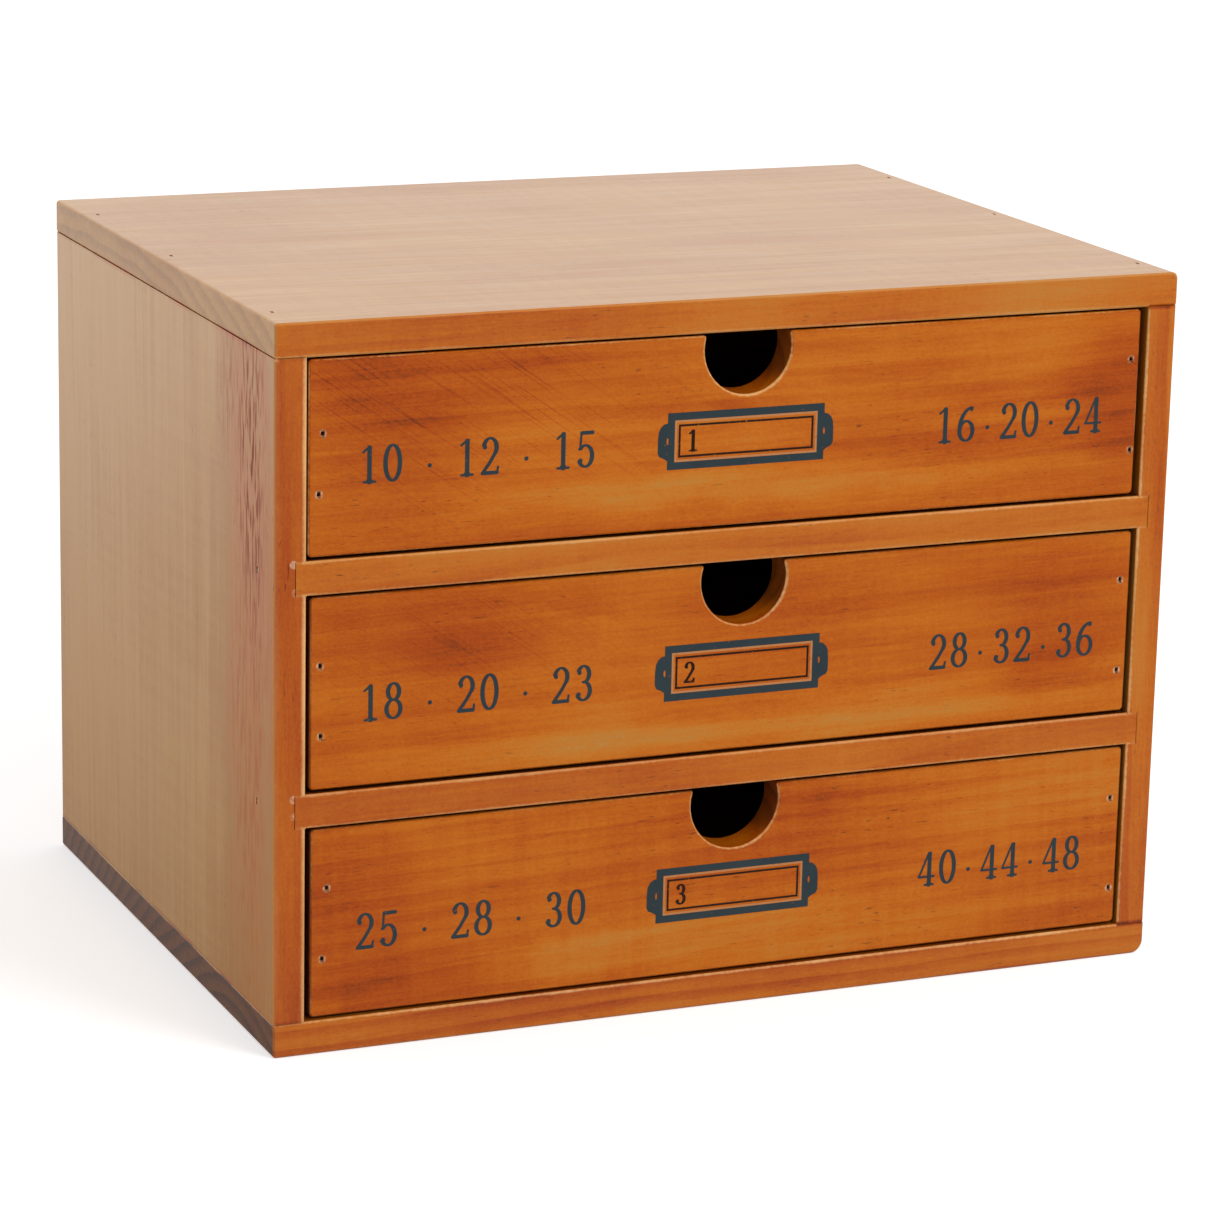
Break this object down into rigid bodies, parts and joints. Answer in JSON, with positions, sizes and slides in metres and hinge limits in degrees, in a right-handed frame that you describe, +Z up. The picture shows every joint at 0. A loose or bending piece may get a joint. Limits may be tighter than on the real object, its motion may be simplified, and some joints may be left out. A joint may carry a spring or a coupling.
{
  "type": "button storage drawers",
  "caption": "Small stained-pine cabinet whose plain drawers slide out by half-round finger notches, for buttons and other haberdashery.",
  "frame": {"origin": "middle of the underside, which stands on the table", "axes": "+X across the drawer fronts to the right as seen from the front, +Y towards the back, +Z up; the drawers open towards -Y"},
  "size_m": [0.255, 0.193, 0.192],
  "materials": {
    "stained_pine": "satin lacquer over orange-brown stain",
    "plywood": "sanded plywood",
    "brad_steel": "dull steel wire"
  },
  "bodies": {
    "case": {"top_panel": "stained_pine", "bottom_panel": "stained_pine", "left_side": "stained_pine", "right_side": "stained_pine", "upper_shelf": "stained_pine", "lower_shelf": "stained_pine", "back_panel": "plywood", "top_brads": "brad_steel", "bottom_brads": "brad_steel", "left_side_brads": "brad_steel", "right_side_brads": "brad_steel", "back_brads": "brad_steel"},
    "bottom_drawer": {"bottom_drawer_front": "stained_pine", "bottom_drawer_left_side": "stained_pine", "bottom_drawer_right_side": "stained_pine", "bottom_drawer_back": "stained_pine", "bottom_drawer_bottom": "plywood", "bottom_drawer_front_brads": "brad_steel", "bottom_drawer_back_brads": "brad_steel", "bottom_drawer_bottom_brads": "brad_steel"},
    "middle_drawer": {"middle_drawer_front": "stained_pine", "middle_drawer_left_side": "stained_pine", "middle_drawer_right_side": "stained_pine", "middle_drawer_back": "stained_pine", "middle_drawer_bottom": "plywood", "middle_drawer_front_brads": "brad_steel", "middle_drawer_back_brads": "brad_steel", "middle_drawer_bottom_brads": "brad_steel"},
    "top_drawer": {"top_drawer_front": "stained_pine", "top_drawer_left_side": "stained_pine", "top_drawer_right_side": "stained_pine", "top_drawer_back": "stained_pine", "top_drawer_bottom": "plywood", "top_drawer_front_brads": "brad_steel", "top_drawer_back_brads": "brad_steel", "top_drawer_bottom_brads": "brad_steel"}
  },
  "joints": [
    {"name": "bottom_drawer_slide", "type": "slide", "parent": "case", "child": "bottom_drawer", "axis": [0, -1, 0], "range_m": [0, 0.14]},
    {"name": "middle_drawer_slide", "type": "slide", "parent": "case", "child": "middle_drawer", "axis": [0, -1, 0], "range_m": [0, 0.14]},
    {"name": "top_drawer_slide", "type": "slide", "parent": "case", "child": "top_drawer", "axis": [0, -1, 0], "range_m": [0, 0.14]}
  ]
}
